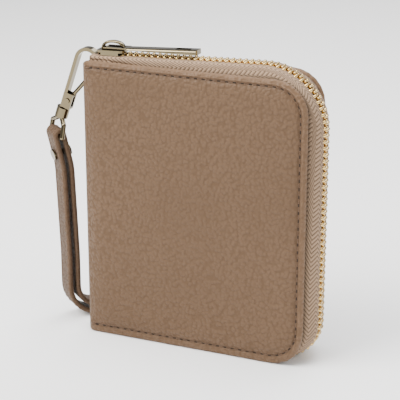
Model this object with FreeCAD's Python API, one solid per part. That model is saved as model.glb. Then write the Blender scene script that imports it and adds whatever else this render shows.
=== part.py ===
import FreeCAD, Part
import math
import os

V = FreeCAD.Vector

# Zip around wallet, closed and standing on its lower rims. Millimetres, +Z up. The origin is the middle of the
# footprint: the spine is at -X, the front cover at -Y and the zip runs over the top, the +X side and the bottom.

# Covers
WALLET_LENGTH = 92.0
WALLET_HEIGHT = 112.0
SPINE_HALF_DEPTH = 8.5
FREE_HALF_DEPTH = 12.0
SPINE_X = -WALLET_LENGTH / 2
FREE_X = WALLET_LENGTH / 2
LEAN = math.degrees(math.asin((FREE_HALF_DEPTH - SPINE_HALF_DEPTH) / WALLET_LENGTH))
FREE_CORNER_RADIUS = 14.0
LEATHER = 1.2
PADDING = 0.6
BOARD = 0.8
LINING = 0.8
RIM_WALL = 1.4
COVER_DEPTH = LEATHER + PADDING + BOARD + LINING
SPINE_LEATHER = 1.6
SPINE_TOP = 109.8
SPINE_EDGE_RADIUS = 1.2
HINGE_GAP = 0.4
LAYER_START_X = SPINE_X + 3.0
LAYER_INSET = 0.8

# Main zip, measured on the line that the teeth follow
TEETH_START_X = -38.3
TEETH_START_Z = 112.2
TEETH_RISE = 1.33
TEETH_SIDE_X = 48.2
TEETH_BOTTOM_Z = 1.6
TEETH_TOP_RADIUS = 23.0
TEETH_BOTTOM_RADIUS = 13.0
TOOTH_PITCH = 2.45
TOOTH_WIDTH = 1.05
TOOTH_HALF_HEIGHT = 1.2
TOOTH_ROOT = 2.7
TOOTH_REACH = 0.9
TAPE = 0.6
TAPE_FLAT_TO = 4.6
TAPE_START_X = -43.6
TAPE_BEND_DEPTH = COVER_DEPTH + 0.25
ZIP_STOP_LENGTH = 2.4

# Slider and pull
SLIDER_X = -35.5
SLIDER_LENGTH = 11.2
SLIDER_HALF_WIDTH = 4.4
SLIDER_PLATE = 0.9
SLIDER_CHANNEL = 1.55
SLIDER_SLIT = 0.5
SLIDER_CORNER = 1.8
SLIDER_FLANGE = 0.9
SLIDER_FLANGE_INSET = 2.0
DIAMOND_LENGTH = 1.6
DIAMOND_HALF_WIDTH = 1.0
BRIDGE_HALF_LENGTH = 4.5
BRIDGE_HALF_WIDTH = 1.0
BRIDGE_CORNER = 1.4
BRIDGE_HEIGHT = 2.15
BRIDGE_WIRE = 1.1
PULL_LENGTH = 37.5
PULL_RING_LENGTH = 9.0
PULL_WIDTH = 5.4
PULL_ARM = 1.2
PULL_BAR_RADIUS = 0.4
PULL_CORNER = 1.0
PULL_THIN = 0.7
PULL_THICK = 1.9
PULL_DROOP = 0.7

# Snap hook, in the plane y = HOOK_Y and leaning against the top of the spine
HOOK_Y = 1.0
HOOK_ARCH_X = -47.0
HOOK_ARCH_Z = 109.0
HOOK_TILT = 19.0
HOOK_ARCH_RADIUS = 4.4
HOOK_BAND_HALF = 0.7
HOOK_BAND_HALF_WIDTH = 1.6
HOOK_ARM = 15.5
HOOK_BODY_HALF_THICKNESS = 1.7
HOOK_RIVET_CAP_RADIUS = 1.1
HOOK_RIVET_CAP = 0.5
SHANK_ACROSS = -4.0
SHANK_RADIUS = 0.9
SHANK_HEAD_RADIUS = 1.6
GATE_WIRE = 0.8
GATE_EYE_HALF = 0.95
GATE_EYE_RADIUS = 1.2
RIVET_RADIUS = 0.5
COLLAR_RADIUS = 2.6
EYELET_Z = 104.2
EYELET_RADIUS = 3.4

# Wrist strap, in the upright plane through the eye bar
STRAP_X = -58.8
STRAP_Y = 3.5
STRAP_HEADING = 48.0
STRAP_WIDTH = 9.0
STRAP_THICKNESS = 2.1
STRAND_GAP = 1.2
STRAP_HALF_STACK = STRAP_THICKNESS + STRAND_GAP / 2
STRAP_BEND_RADIUS = 11.0
STRAP_REACH = 68.0
STRAP_KNEE_T = -1.0
STRAP_KNEE_Z = 65.0
STRAP_FOOT_T = 0.3
STRAP_FOOT_Z = 28.0
STRAP_RIVET_Z = 70.5
EYE_BAR_T = -3.9
EYE_BAR_Z = 78.0
EYE_WIRE = 1.0
EYE_BAR_CLEARANCE = 0.15
STRAP_TOP_RADIUS = 30.0
STRAP_KNEE_RADIUS = 60.0
STRAP_PIN_RADIUS = 1.0
STRAP_CAP_RADIUS = 2.3

# Coin pocket page
COIN_X0 = -40.0
COIN_X1 = 36.0
COIN_Z0 = 7.0
COIN_Z1 = 97.0
COIN_HALF_DEPTH = 2.4
COIN_PANEL = 0.7
COIN_TOOTH_PITCH = 1.6
COIN_SLIDER_X = 20.0
COIN_SLIDER_HALF = 3.0
COIN_GUSSET = 0.8
COIN_TOOTH_WIDTH = 0.65

# Flat pockets on the linings
POCKET_X0 = -37.0
POCKET_X1 = 36.0
POCKET_Z0 = 8.0
POCKET_SHEET = 0.5
CARD_SLOT_TOPS = [96.0, 82.0, 68.0, 54.0]
SLIP_POCKET_TOP = 88.0


def box(x0, x1, y0, y1, z0, z1):
    """A box between two corners."""
    return Part.makeBox(x1 - x0, y1 - y0, z1 - z0, V(x0, y0, z0))


def rod(start, end, radius):
    """A round rod between two points."""
    axis = end - start
    return Part.makeCylinder(radius, axis.Length, start, axis)


def fuse(shapes):
    """One solid out of several that touch or overlap."""
    joined = shapes[0]
    for shape in shapes[1:]:
        joined = joined.fuse(shape)
    return joined.removeSplitter()


def round_path(corners, radii, y):
    """An open path in the plane y: straight runs between corners, with an arc of the given radius at each."""
    points = [V(x, y, z) for x, z in corners]
    edges = []
    start = points[0]
    for i in range(1, len(points) - 1):
        before = (points[i - 1] - points[i]).normalize()
        after = (points[i + 1] - points[i]).normalize()
        half_angle = before.getAngle(after) / 2
        setback = radii[i - 1] / math.tan(half_angle)
        arc_start = points[i] + before * setback
        arc_end = points[i] + after * setback
        towards_centre = (before + after).normalize()
        middle = points[i] + towards_centre * (radii[i - 1] / math.sin(half_angle) - radii[i - 1])
        edges.append(Part.makeLine(start, arc_start))
        edges.append(Part.Arc(arc_start, middle, arc_end).toShape())
        start = arc_end
    edges.append(Part.makeLine(start, points[-1]))
    return edges


def band(outer, inner):
    """A closed wire between two paths that run side by side."""
    first = outer[0].valueAt(outer[0].FirstParameter)
    last = outer[-1].valueAt(outer[-1].LastParameter)
    back_last = inner[-1].valueAt(inner[-1].LastParameter)
    back_first = inner[0].valueAt(inner[0].FirstParameter)
    edges = list(outer)
    edges.append(Part.makeLine(last, back_last))
    edges.extend(reversed(inner))
    edges.append(Part.makeLine(back_first, first))
    return Part.Wire(Part.__sortEdges__(edges))


def lean(shape, side):
    """Lean a flat cover about its spine edge so that its free side stands further out."""
    leaning = shape.copy()
    leaning.rotate(V(SPINE_X, side * SPINE_HALF_DEPTH, 0), V(0, 0, 1), side * LEAN)
    return leaning


def cover_sheet(side, x0, inset, depth0, depth1):
    """A flat sheet of one cover, inset from its outline, between two depths below its outer face."""
    radius = FREE_CORNER_RADIUS - inset
    x1 = FREE_X - inset
    z0 = inset
    z1 = WALLET_HEIGHT - inset
    y = side * (SPINE_HALF_DEPTH - depth0)
    edges = round_path([(x0, z1), (x1, z1), (x1, z0), (x0, z0)], [radius, radius], y)
    edges.append(Part.makeLine(V(x0, y, z0), V(x0, y, z1)))
    face = Part.Face(Part.Wire(edges))
    return face.extrude(V(0, -side * (depth1 - depth0), 0))


def cover_leather(side, x0):
    """Leather skin of one cover, turned in round the free edges to form the rim."""
    skin = cover_sheet(side, x0, 0, 0, COVER_DEPTH)
    hollow = cover_sheet(side, x0 - 1, RIM_WALL, LEATHER, COVER_DEPTH + 1)
    return lean(skin.cut(hollow), side)


def cover_layer(side, depth, thickness, inset):
    """Padding, board or lining inside one cover."""
    return lean(cover_sheet(side, LAYER_START_X, inset, depth, depth + thickness), side)


def teeth_corners(offset):
    """Corners of the teeth line, moved outward by offset."""
    slope = math.tan(math.radians(TEETH_RISE))
    shift = offset / math.cos(math.radians(TEETH_RISE))
    top = TEETH_START_Z + shift
    side_x = TEETH_SIDE_X + offset
    bottom = TEETH_BOTTOM_Z - offset
    left_top = (TAPE_START_X, top + (TAPE_START_X - TEETH_START_X) * slope)
    right_top = (side_x, top + (side_x - TEETH_START_X) * slope)
    return [left_top, right_top, (side_x, bottom), (TAPE_START_X, bottom)]


def teeth_band(y):
    """Section of the tape on the teeth line."""
    runs = []
    for offset in (TAPE / 2, -TAPE / 2):
        radii = [TEETH_TOP_RADIUS + offset, TEETH_BOTTOM_RADIUS + offset]
        runs.append(round_path(teeth_corners(offset), radii, y))
    return band(runs[0], runs[1])


def rim_band(side, depth):
    """Section of the tape where it is sewn inside the rim, at a depth below the cover's outer face."""
    y = side * (SPINE_HALF_DEPTH - depth)
    runs = []
    for inset in (RIM_WALL, RIM_WALL + TAPE):
        x1 = FREE_X - inset
        z1 = WALLET_HEIGHT - inset
        corners = [(TAPE_START_X, z1), (x1, z1), (x1, inset), (TAPE_START_X, inset)]
        radius = FREE_CORNER_RADIUS - inset
        runs.append(round_path(corners, [radius, radius], y))
    return lean(band(runs[0], runs[1]), side)


def zip_tape(side):
    """Woven tape: flat beside the teeth, then sloping down inside the rim and sewn along it."""
    tucked_edge = LEATHER + PADDING + BOARD
    sections = [
        teeth_band(side * TOOTH_ROOT),
        teeth_band(side * TAPE_FLAT_TO),
        rim_band(side, TAPE_BEND_DEPTH),
        rim_band(side, tucked_edge),
    ]
    return Part.makeLoft(sections, True, True)


def teeth_line():
    """The teeth line as one wire, starting at the spine end of the top run."""
    corners = teeth_corners(0)
    corners[0] = (TEETH_START_X, TEETH_START_Z)
    corners[-1] = (TEETH_START_X, TEETH_BOTTOM_Z)
    return round_path(corners, [TEETH_TOP_RADIUS, TEETH_BOTTOM_RADIUS], 0)


def along(edges, distance):
    """Point and tangent at a distance along a row of edges."""
    for edge in edges:
        if distance <= edge.Length:
            parameter = edge.getParameterByLength(distance)
            return edge.valueAt(parameter), edge.tangentAt(parameter)
        distance -= edge.Length
    return None


def zip_teeth(side):
    """One row of metal teeth. The two rows are half a pitch apart and reach past each other."""
    edges = teeth_line()
    length = sum(edge.Length for edge in edges)
    lead = 0.0 if side < 0 else TOOTH_PITCH / 2
    count = int((length - lead) / TOOTH_PITCH)
    y0 = min(side * TOOTH_ROOT, -side * TOOTH_REACH)
    y1 = max(side * TOOTH_ROOT, -side * TOOTH_REACH)
    teeth = []
    for i in range(count):
        point, tangent = along(edges, lead + i * TOOTH_PITCH)
        half = TOOTH_WIDTH / 2
        tooth = box(-half, half, y0, y1, -TOOTH_HALF_HEIGHT, TOOTH_HALF_HEIGHT)
        tooth.rotate(V(0, 0, 0), V(0, 1, 0), math.degrees(math.atan2(-tangent.z, tangent.x)))
        tooth.translate(point)
        teeth.append(tooth)
    return Part.makeCompound(teeth)


def zip_stop(side):
    """Metal stop clamped on the tape's edge beyond the last tooth of the bottom run."""
    x1 = TEETH_START_X - TOOTH_WIDTH
    y0 = min(side * 0.2, side * TOOTH_ROOT)
    y1 = max(side * 0.2, side * TOOTH_ROOT)
    return box(x1 - ZIP_STOP_LENGTH, x1, y0, y1, TEETH_BOTTOM_Z - TOOTH_HALF_HEIGHT, TEETH_BOTTOM_Z + TOOTH_HALF_HEIGHT)


def back_spine_leather():
    """Back cover's leather carried on round the closed edge, with the hole for the eyelet."""
    side = box(SPINE_X, SPINE_X + SPINE_LEATHER, -SPINE_HALF_DEPTH + 0.5, SPINE_HALF_DEPTH, 0, SPINE_TOP)
    outer = [edge for edge in side.Edges if is_upright_at(edge, SPINE_X)]
    side = side.makeFillet(SPINE_EDGE_RADIUS, outer)
    skin = fuse([side, cover_leather(1, SPINE_X + SPINE_LEATHER - 0.3)])
    hole = rod(V(SPINE_X - 1, HOOK_Y, EYELET_Z), V(SPINE_X + 4, HOOK_Y, EYELET_Z), EYELET_RADIUS + 0.4)
    return skin.cut(hole)


def is_upright_at(edge, x):
    """Whether an edge is vertical and lies at x."""
    ends = [vertex.Point for vertex in edge.Vertexes]
    return abs(ends[0].z - ends[1].z) > 10 and all(abs(end.x - x) < 1e-6 for end in ends)


def spine_lining():
    """Thin fabric behind the spine leather, short of the eyelet."""
    x0 = SPINE_X + SPINE_LEATHER
    return box(x0, x0 + 0.3, -6.5, 5.0, 2.0, EYELET_Z - EYELET_RADIUS - 2.0)


def spine_eyelet():
    """Metal eyelet set through the spine: a barrel with a rolled flange outside and a thin one inside."""
    x_in = SPINE_X + SPINE_LEATHER
    barrel = rod(V(SPINE_X - 0.5, HOOK_Y, EYELET_Z), V(x_in + 0.2, HOOK_Y, EYELET_Z), EYELET_RADIUS + 0.4)
    outer = rod(V(SPINE_X - 0.5, HOOK_Y, EYELET_Z), V(SPINE_X, HOOK_Y, EYELET_Z), EYELET_RADIUS + 1.5)
    inner = rod(V(x_in, HOOK_Y, EYELET_Z), V(x_in + 0.2, HOOK_Y, EYELET_Z), EYELET_RADIUS + 1.2)
    hole = rod(V(SPINE_X - 1, HOOK_Y, EYELET_Z), V(x_in + 1, HOOK_Y, EYELET_Z), EYELET_RADIUS)
    return fuse([barrel, outer, inner]).cut(hole)


def inner_panel(side, top, level):
    """A flat pocket sheet on the lining of one cover; level counts sheets out from the lining."""
    depth = COVER_DEPTH + level * POCKET_SHEET
    y0 = side * (SPINE_HALF_DEPTH - depth)
    y1 = side * (SPINE_HALF_DEPTH - depth - POCKET_SHEET)
    return lean(box(POCKET_X0, POCKET_X1, min(y0, y1), max(y0, y1), POCKET_Z0, top), side)


def on_slider(shape):
    """Move a shape from the slider's own frame, X along the teeth and Z out from them, onto the top run."""
    placed = shape.copy()
    placed.rotate(V(0, 0, 0), V(0, 1, 0), -TEETH_RISE)
    rise = (SLIDER_X - TEETH_START_X) * math.tan(math.radians(TEETH_RISE))
    placed.translate(V(SLIDER_X, 0, TEETH_START_Z + rise))
    return placed


def slider_body():
    """Slider: two plates joined by the diamond at the spine end, with flanges that leave a slit for each tape."""
    half = SLIDER_LENGTH / 2
    top = SLIDER_CHANNEL + SLIDER_PLATE
    parts = [box(-half, -half + DIAMOND_LENGTH, -DIAMOND_HALF_WIDTH, DIAMOND_HALF_WIDTH, -SLIDER_CHANNEL - 0.1, SLIDER_CHANNEL + 0.1)]
    for sign in (-1, 1):
        z0 = min(sign * SLIDER_CHANNEL, sign * top)
        plate = box(-half, half, -SLIDER_HALF_WIDTH, SLIDER_HALF_WIDTH, z0, z0 + SLIDER_PLATE)
        upright = [edge for edge in plate.Edges if abs(edge.Vertexes[0].Z - edge.Vertexes[1].Z) > 0.5]
        parts.append(plate.makeFillet(SLIDER_CORNER, upright))
        f0 = min(sign * SLIDER_SLIT, sign * (SLIDER_CHANNEL + 0.2))
        flange_height = SLIDER_CHANNEL + 0.2 - SLIDER_SLIT
        reach = half - SLIDER_FLANGE_INSET
        for y0 in (-SLIDER_HALF_WIDTH, SLIDER_HALF_WIDTH - SLIDER_FLANGE):
            parts.append(box(-reach, reach, y0, y0 + SLIDER_FLANGE, f0, f0 + flange_height))
    return on_slider(fuse(parts))


def slider_bridge():
    """Arched bridge on the slider's upper plate that holds the pull."""
    z0 = SLIDER_CHANNEL + SLIDER_PLATE
    half = BRIDGE_HALF_LENGTH
    outer = box(-half, half, -BRIDGE_HALF_WIDTH, BRIDGE_HALF_WIDTH, z0, z0 + BRIDGE_HEIGHT)
    high = [e for e in outer.Edges if abs(e.Vertexes[0].Y - e.Vertexes[1].Y) > 1 and e.Vertexes[0].Z > z0 + 1]
    outer = outer.makeFillet(BRIDGE_CORNER, high)
    gap = box(-half + BRIDGE_WIRE, half - BRIDGE_WIRE, -2, 2, z0 - 1, z0 + BRIDGE_HEIGHT - BRIDGE_WIRE)
    return on_slider(outer.cut(gap))


def pull_hinge():
    """Middle of the pull's cross bar, in the slider's frame."""
    return V(-BRIDGE_HALF_LENGTH + BRIDGE_WIRE + 0.6, 0, SLIDER_CHANNEL + SLIDER_PLATE + 0.52)


def zip_pull():
    """Wedge-shaped pull: a cross bar under the bridge, two side arms and a bar that thickens to its free end."""
    half = PULL_WIDTH / 2
    low = -PULL_THIN / 2
    cross_bar = rod(V(0, -half, 0), V(0, half, 0), PULL_BAR_RADIUS)
    parts = [cross_bar]
    for y0 in (-half, half - PULL_ARM):
        parts.append(box(0, PULL_RING_LENGTH, y0, y0 + PULL_ARM, low, low + PULL_THIN))
    start = PULL_RING_LENGTH - 1.6
    corners = [
        V(start, -half, low),
        V(PULL_LENGTH, -half, low),
        V(PULL_LENGTH, -half, low + PULL_THICK),
        V(start, -half, low + PULL_THIN),
    ]
    bar = Part.Face(Part.makePolygon(corners + corners[:1])).extrude(V(0, PULL_WIDTH, 0))
    ends = [e for e in bar.Edges if abs(e.Vertexes[0].Z - e.Vertexes[1].Z) > 1 and e.Vertexes[0].X > start + 1]
    parts.append(bar.makeFillet(PULL_CORNER, ends))
    pull = fuse(parts)
    recess = box(PULL_LENGTH - 9.0, PULL_LENGTH - 3.0, -1.4, 1.4, low + PULL_THICK - 0.7, low + PULL_THICK + 1)
    pull = pull.cut(recess)
    pull.rotate(V(0, 0, 0), V(0, 1, 0), PULL_DROOP)
    pull.translate(pull_hinge())
    return on_slider(pull)


def hook_point(across, up, y=HOOK_Y):
    """A point in the hook's own frame: across its plane and up along its shank, from the arch's centre."""
    tilt = math.radians(HOOK_TILT)
    x = HOOK_ARCH_X + across * math.cos(tilt) + up * math.sin(tilt)
    z = HOOK_ARCH_Z - across * math.sin(tilt) + up * math.cos(tilt)
    return V(x, y, z)


def hook_arch():
    """Flat band of the hook: the long outer arm, the arch over the spine's edge and the short nose inside."""
    r = HOOK_ARCH_RADIUS
    arm = Part.makeLine(hook_point(-r, -HOOK_ARM), hook_point(-r, 0))
    arch = Part.Arc(hook_point(-r, 0), hook_point(0, r), hook_point(r, 0)).toShape()
    nose = Part.makeLine(hook_point(r, 0), hook_point(r, -0.4))
    corners = []
    for across, width in ((-1, -1), (1, -1), (1, 1), (-1, 1)):
        y = HOOK_Y + width * HOOK_BAND_HALF_WIDTH
        corners.append(hook_point(-r + across * HOOK_BAND_HALF, -HOOK_ARM, y))
    section = Part.makePolygon(corners + corners[:1])
    return Part.Wire([arm, arch, nose]).makePipeShell([section], True, False)


def hook_frame_box(u0, u1, v0, v1, half_thickness):
    """A box in the hook's own frame."""
    block = box(u0, u1, -half_thickness, half_thickness, v0, v1)
    block.rotate(V(0, 0, 0), V(0, 1, 0), HOOK_TILT)
    block.translate(V(HOOK_ARCH_X, HOOK_Y, HOOK_ARCH_Z))
    return block


def gate_pivot():
    """Middle of the rivet that the gate turns on."""
    return hook_point(-2.9, -18.6)


def hook_body():
    """Cast body under the outer arm, slotted for the gate, with a short shank for the swivel collar."""
    left = -HOOK_ARCH_RADIUS - HOOK_BAND_HALF
    block = hook_frame_box(left, -1.0, -21.8, -HOOK_ARM, HOOK_BODY_HALF_THICKNESS)
    slot = hook_frame_box(left + 0.8, 0.0, -21.0, -HOOK_ARM + 1.0, GATE_EYE_HALF + 0.1)
    shank = rod(hook_point(SHANK_ACROSS, -21.4), hook_point(SHANK_ACROSS, -24.0), SHANK_RADIUS)
    head = rod(hook_point(SHANK_ACROSS, -24.0), hook_point(SHANK_ACROSS, -24.8), SHANK_HEAD_RADIUS)
    rivet_hole = rod(gate_pivot() - V(0, 3, 0), gate_pivot() + V(0, 3, 0), RIVET_RADIUS)
    return fuse([block.cut(slot), shank, head]).cut(rivet_hole)


def hook_rivet():
    """Domed rivet across the body, the gate's pivot."""
    centre = gate_pivot()
    reach = HOOK_BODY_HALF_THICKNESS
    pin = rod(centre - V(0, reach, 0), centre + V(0, reach, 0), RIVET_RADIUS)
    heads = []
    for sign in (-1, 1):
        base = centre + V(0, sign * reach, 0)
        heads.append(rod(base, base + V(0, sign * HOOK_RIVET_CAP, 0), HOOK_RIVET_CAP_RADIUS))
    return fuse([pin] + heads)


def hook_gate():
    """Sprung gate: an eye on the rivet and a straight wire that closes the hook's mouth."""
    pivot = gate_pivot()
    tip = hook_point(HOOK_ARCH_RADIUS, -1.5)
    eye = rod(pivot - V(0, GATE_EYE_HALF, 0), pivot + V(0, GATE_EYE_HALF, 0), GATE_EYE_RADIUS)
    wire = rod(pivot, tip, GATE_WIRE)
    return fuse([eye, wire]).cut(rod(pivot - V(0, 3, 0), pivot + V(0, 3, 0), RIVET_RADIUS + 0.03))


def gate_spring():
    """Small leaf spring on the floor of the body's slot that presses the gate shut."""
    return hook_frame_box(-4.1, -1.2, -21.0, -20.7, 0.6)


def strap_vectors():
    """Directions along the strap's plane and across its width."""
    heading = math.radians(STRAP_HEADING)
    return V(math.cos(heading), math.sin(heading), 0), V(math.sin(heading), -math.cos(heading), 0)


def strap_point(t, z, across=0.0):
    """A point in the strap's upright plane, t along it and z up."""
    ahead, sideways = strap_vectors()
    return V(STRAP_X, STRAP_Y, z) + ahead * t + sideways * across


def swivel_collar():
    """Hollow collar that turns on the hook's shank and holds the eye."""
    outer = rod(hook_point(SHANK_ACROSS, -22.1), hook_point(SHANK_ACROSS, -26.2), COLLAR_RADIUS)
    neck = rod(hook_point(SHANK_ACROSS, -22.0), hook_point(SHANK_ACROSS, -24.0), 0.98)
    chamber = rod(hook_point(SHANK_ACROSS, -23.92), hook_point(SHANK_ACROSS, -24.9), 1.7)
    return outer.cut(neck).cut(chamber)


def swivel_eye():
    """D-shaped wire eye: two arms from the collar down to a straight bar for the strap."""
    top = hook_point(SHANK_ACROSS, -26.0)
    half = STRAP_WIDTH / 2 + EYE_WIRE + 0.4
    ends = []
    for sign in (-1, 1):
        ends.append(strap_point(EYE_BAR_T, EYE_BAR_Z, sign * half))
    parts = [rod(ends[0], ends[1], EYE_WIRE)]
    for end in ends:
        across = math.copysign(half - 0.2, (end - top).dot(strap_vectors()[1]))
        shoulder = strap_point(EYE_BAR_T + 0.9, EYE_BAR_Z + 4.8, across)
        parts.append(rod(end, shoulder, EYE_WIRE))
        parts.append(rod(shoulder, top, EYE_WIRE))
        parts.append(Part.makeSphere(EYE_WIRE, end))
        parts.append(Part.makeSphere(EYE_WIRE, shoulder))
    parts.append(Part.makeSphere(EYE_WIRE, top))
    return fuse(parts).cut(swivel_collar())


def strap_band(half_stack, bar_radius):
    """The strap's outline in its plane, as a solid as wide as the strap: the run and the fold round the bar."""
    corners = [
        (EYE_BAR_T, EYE_BAR_Z),
        (STRAP_KNEE_T, STRAP_KNEE_Z),
        (STRAP_FOOT_T, STRAP_FOOT_Z),
        (STRAP_FOOT_T, STRAP_HALF_STACK),
        (STRAP_REACH, STRAP_HALF_STACK),
    ]
    run = Part.Wire(round_path(corners, [STRAP_TOP_RADIUS, STRAP_KNEE_RADIUS, STRAP_BEND_RADIUS], 0))
    face = Part.Face(run.makeOffset2D(half_stack))
    centre = V(EYE_BAR_T, 0, EYE_BAR_Z)
    width = V(0, STRAP_WIDTH, 0)
    solid = face.extrude(width)
    around_bar = Part.makeCylinder(bar_radius, STRAP_WIDTH, centre, V(0, 1, 0))
    return solid.fuse(around_bar).removeSplitter()


def into_strap_plane(shape):
    """Turn a shape drawn in the XZ plane, with its width along +Y, into the strap's plane."""
    placed = shape.copy()
    placed.translate(V(0, -STRAP_WIDTH / 2, 0))
    placed.rotate(V(0, 0, 0), V(0, 0, 1), STRAP_HEADING)
    placed.translate(V(STRAP_X, STRAP_Y, 0))
    return placed


def strap_rivet_axis():
    """Ends of the rivet, square through both strands below the bar."""
    run_t = STRAP_KNEE_T - EYE_BAR_T
    run_z = STRAP_KNEE_Z - EYE_BAR_Z
    share = (STRAP_RIVET_Z - EYE_BAR_Z) / run_z
    length = math.hypot(run_t, run_z)
    across_t = -run_z / length * STRAP_HALF_STACK
    across_z = run_t / length * STRAP_HALF_STACK
    middle_t = EYE_BAR_T + share * run_t
    start = strap_point(middle_t - across_t, STRAP_RIVET_Z - across_z)
    end = strap_point(middle_t + across_t, STRAP_RIVET_Z + across_z)
    return start, end


def wrist_strap():
    """Leather strip folded over the eye bar and closed into a long loop."""
    loop = strap_band(STRAP_HALF_STACK, EYE_WIRE + EYE_BAR_CLEARANCE + STRAP_THICKNESS)
    hollow = strap_band(STRAND_GAP / 2, EYE_WIRE + EYE_BAR_CLEARANCE)
    start, end = strap_rivet_axis()
    drilled = into_strap_plane(loop.cut(hollow))
    return drilled.cut(rod(start - (end - start), end + (end - start), STRAP_PIN_RADIUS))


def strap_rivet():
    """Rivet with a round cap on each side of the strap."""
    start, end = strap_rivet_axis()
    ahead = (end - start).normalize()
    pin = rod(start - ahead * 0.6, end + ahead * 0.6, STRAP_PIN_RADIUS)
    near_cap = rod(start - ahead * 1.0, start - ahead * 0.35, STRAP_CAP_RADIUS)
    far_cap = rod(end + ahead * 0.35, end + ahead * 1.0, STRAP_CAP_RADIUS)
    return fuse([pin, near_cap, far_cap])


def coin_panel(side):
    """One side of the coin pocket page."""
    y0 = min(side * COIN_HALF_DEPTH, side * (COIN_HALF_DEPTH - COIN_PANEL))
    return box(COIN_X0, COIN_X1, y0, y0 + COIN_PANEL, COIN_Z0, COIN_Z1)


def coin_gusset():
    """Strip between the two panels, down one side, along the bottom and up the other."""
    inner = COIN_HALF_DEPTH - COIN_PANEL
    outer = box(COIN_X0, COIN_X1, -inner, inner, COIN_Z0, COIN_Z1)
    return outer.cut(box(COIN_X0 + COIN_GUSSET, COIN_X1 - COIN_GUSSET, -inner, inner, COIN_Z0 + COIN_GUSSET, COIN_Z1 + 1))


def coin_zip_tape():
    """Two tape strips on the panels' top edges with a gap between them for the teeth."""
    strips = []
    for y0 in (-COIN_HALF_DEPTH, 1.0):
        strips.append(box(COIN_X0, COIN_X1, y0, y0 + COIN_HALF_DEPTH - 1.0, COIN_Z1, COIN_Z1 + 0.5))
    return Part.makeCompound(strips)


def coin_zip_teeth():
    """Both rows of fine teeth between the strips, parted at the slider's neck."""
    teeth = []
    count = int((COIN_X1 - COIN_X0 - 4.0) / (COIN_TOOTH_PITCH / 2))
    for i in range(count):
        x = COIN_X0 + 2.0 + i * COIN_TOOTH_PITCH / 2
        y0 = -1.0 if i % 2 else -0.4
        if abs(x - COIN_SLIDER_X + COIN_SLIDER_HALF) < 1.0:
            continue
        teeth.append(box(x, x + COIN_TOOTH_WIDTH, y0, y0 + 1.4, COIN_Z1 - 0.35, COIN_Z1 + 0.85))
    return Part.makeCompound(teeth)


def coin_slider():
    """Small slider of the coin pocket's zip, with a low bridge."""
    x0 = COIN_SLIDER_X - COIN_SLIDER_HALF
    x1 = COIN_SLIDER_X + COIN_SLIDER_HALF
    lower = box(x0, x1, -1.5, 1.5, COIN_Z1 - 1.2, COIN_Z1 - 0.6)
    upper = box(x0, x1, -2.2, 2.2, COIN_Z1 + 1.1, COIN_Z1 + 1.7)
    neck = box(x0, x0 + 0.5, -0.3, 0.3, COIN_Z1 - 0.7, COIN_Z1 + 1.2)
    bridge = box(x0 + 0.6, x0 + 5.2, -0.5, 0.5, COIN_Z1 + 1.6, COIN_Z1 + 3.4)
    bridge = bridge.cut(box(x0 + 1.2, x0 + 4.6, -1, 1, COIN_Z1 + 1.7, COIN_Z1 + 2.8))
    return fuse([lower, upper, neck, bridge])


def coin_pull():
    """Small flat pull with a slot that takes the bridge."""
    x0 = COIN_SLIDER_X - 1.4
    z = COIN_Z1 + 2.25
    bar = rod(V(x0, -1.6, z), V(x0, 1.6, z), 0.3)
    arms = [box(x0, x0 + 4.6, y0, y0 + 0.8, z - 0.3, z + 0.3) for y0 in (-1.6, 0.8)]
    tab = box(x0 + 3.9, x0 + 9.0, -1.6, 1.6, z - 0.3, z + 0.3)
    return fuse([bar] + arms + [tab])


def cover_nodes(name, side):
    """Padding, board, lining, tape, teeth and stop of one cover."""
    return {
        name + "_padding": cover_layer(side, LEATHER, PADDING, RIM_WALL + TAPE + LAYER_INSET),
        name + "_board": cover_layer(side, LEATHER + PADDING, BOARD, RIM_WALL + TAPE + LAYER_INSET),
        name + "_lining": cover_layer(side, LEATHER + PADDING + BOARD, LINING, RIM_WALL + TAPE),
        name + "_zip_tape": zip_tape(side),
        name + "_zip_teeth": zip_teeth(side),
        name + "_zip_stop": zip_stop(side),
    }


def all_nodes():
    """Every node of the wallet by name."""
    nodes = {}
    nodes["front_leather"] = cover_leather(-1, SPINE_X + SPINE_LEATHER + HINGE_GAP)
    nodes["back_spine_leather"] = back_spine_leather()
    nodes.update(cover_nodes("front", -1))
    nodes.update(cover_nodes("back", 1))
    for i, top in enumerate(CARD_SLOT_TOPS):
        nodes["card_slot_%d" % (i + 1)] = inner_panel(-1, top, i)
    nodes["slip_pocket"] = inner_panel(1, SLIP_POCKET_TOP, 0)
    nodes["spine_lining"] = spine_lining()
    nodes["spine_eyelet"] = spine_eyelet()
    nodes["coin_front_panel"] = coin_panel(-1)
    nodes["coin_back_panel"] = coin_panel(1)
    nodes["coin_gusset"] = coin_gusset()
    nodes["coin_zip_tape"] = coin_zip_tape()
    nodes["coin_zip_teeth"] = coin_zip_teeth()
    nodes["coin_slider"] = coin_slider()
    nodes["coin_pull"] = coin_pull()
    nodes["slider_body"] = slider_body()
    nodes["slider_bridge"] = slider_bridge()
    nodes["zip_pull"] = zip_pull()
    nodes["hook_arch"] = hook_arch()
    nodes["hook_body"] = hook_body()
    nodes["hook_rivet"] = hook_rivet()
    nodes["hook_gate"] = hook_gate()
    nodes["gate_spring"] = gate_spring()
    nodes["swivel_collar"] = swivel_collar()
    nodes["swivel_eye"] = swivel_eye()
    nodes["wrist_strap"] = wrist_strap()
    nodes["strap_rivet"] = strap_rivet()
    return nodes


os.makedirs("parts", exist_ok=True)
for node_name, node_shape in all_nodes().items():
    node_shape.exportStep("parts/%s.step" % node_name)
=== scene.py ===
import math

import bmesh
import bpy
from mathutils import Matrix, Vector


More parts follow.
